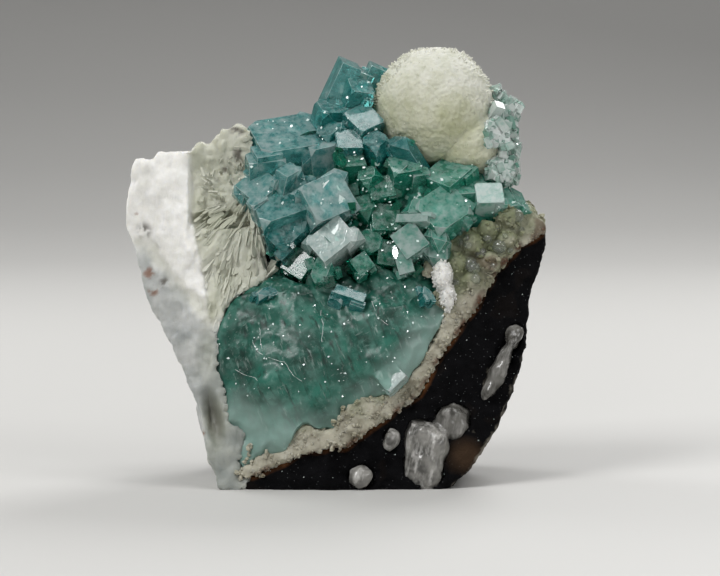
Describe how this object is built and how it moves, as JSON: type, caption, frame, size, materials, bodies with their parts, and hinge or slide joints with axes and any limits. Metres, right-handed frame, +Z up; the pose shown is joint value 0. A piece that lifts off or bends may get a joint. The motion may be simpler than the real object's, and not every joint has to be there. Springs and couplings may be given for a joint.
{
  "type": "green apophyllite with stilbite",
  "caption": "Hand-sized mineral specimen: a white stilbite mass and ball with blocky blue-green apophyllite crystals, grown on black basalt that stands on its flat foot.",
  "frame": {"origin": "middle of the bounding box, on the flat surface that the specimen stands on", "axes": "+Z up, the longest extent; -Y out of the show side, +Y through its shortest extent; +X to the right of the show side"},
  "size_m": [0.0952, 0.0564, 0.098],
  "materials": {
    "stilbite": "satin white sheaves of blades with a soft pearly sheen, stained orange-brown in a few spots",
    "stilbite_ball": "satin cream to pale yellow-green, made of fine radiating blades",
    "apophyllite": "glassy, clear to veiled, blue-green to deep green, with pearly end faces",
    "apophyllite_massive": "glassy broken surface, blue-green with milky margins and whitish inner cracks",
    "apophyllite_pale": "glassy, pale mint to nearly colourless",
    "lining": "pale beige sugary crust, rusty brown where it meets the rock",
    "chalcedony": "grey-white, waxy and slightly translucent",
    "basalt": "near-black, matt and fine grained, with tiny bright specks"
  },
  "bodies": {
    "root": {"stilbite_ball": "stilbite_ball", "stilbite_spray": "stilbite", "apophyllite_crystals": "apophyllite", "apophyllite_lower": "apophyllite_massive", "apophyllite_crest": "apophyllite_pale", "zeolite_lining": "lining", "stilbite_mass": "stilbite", "chalcedony_large": "chalcedony", "chalcedony_vein": "chalcedony", "chalcedony_small": "chalcedony", "chalcedony_drop": "chalcedony", "basalt_matrix": "basalt"}
  },
  "joints": []
}
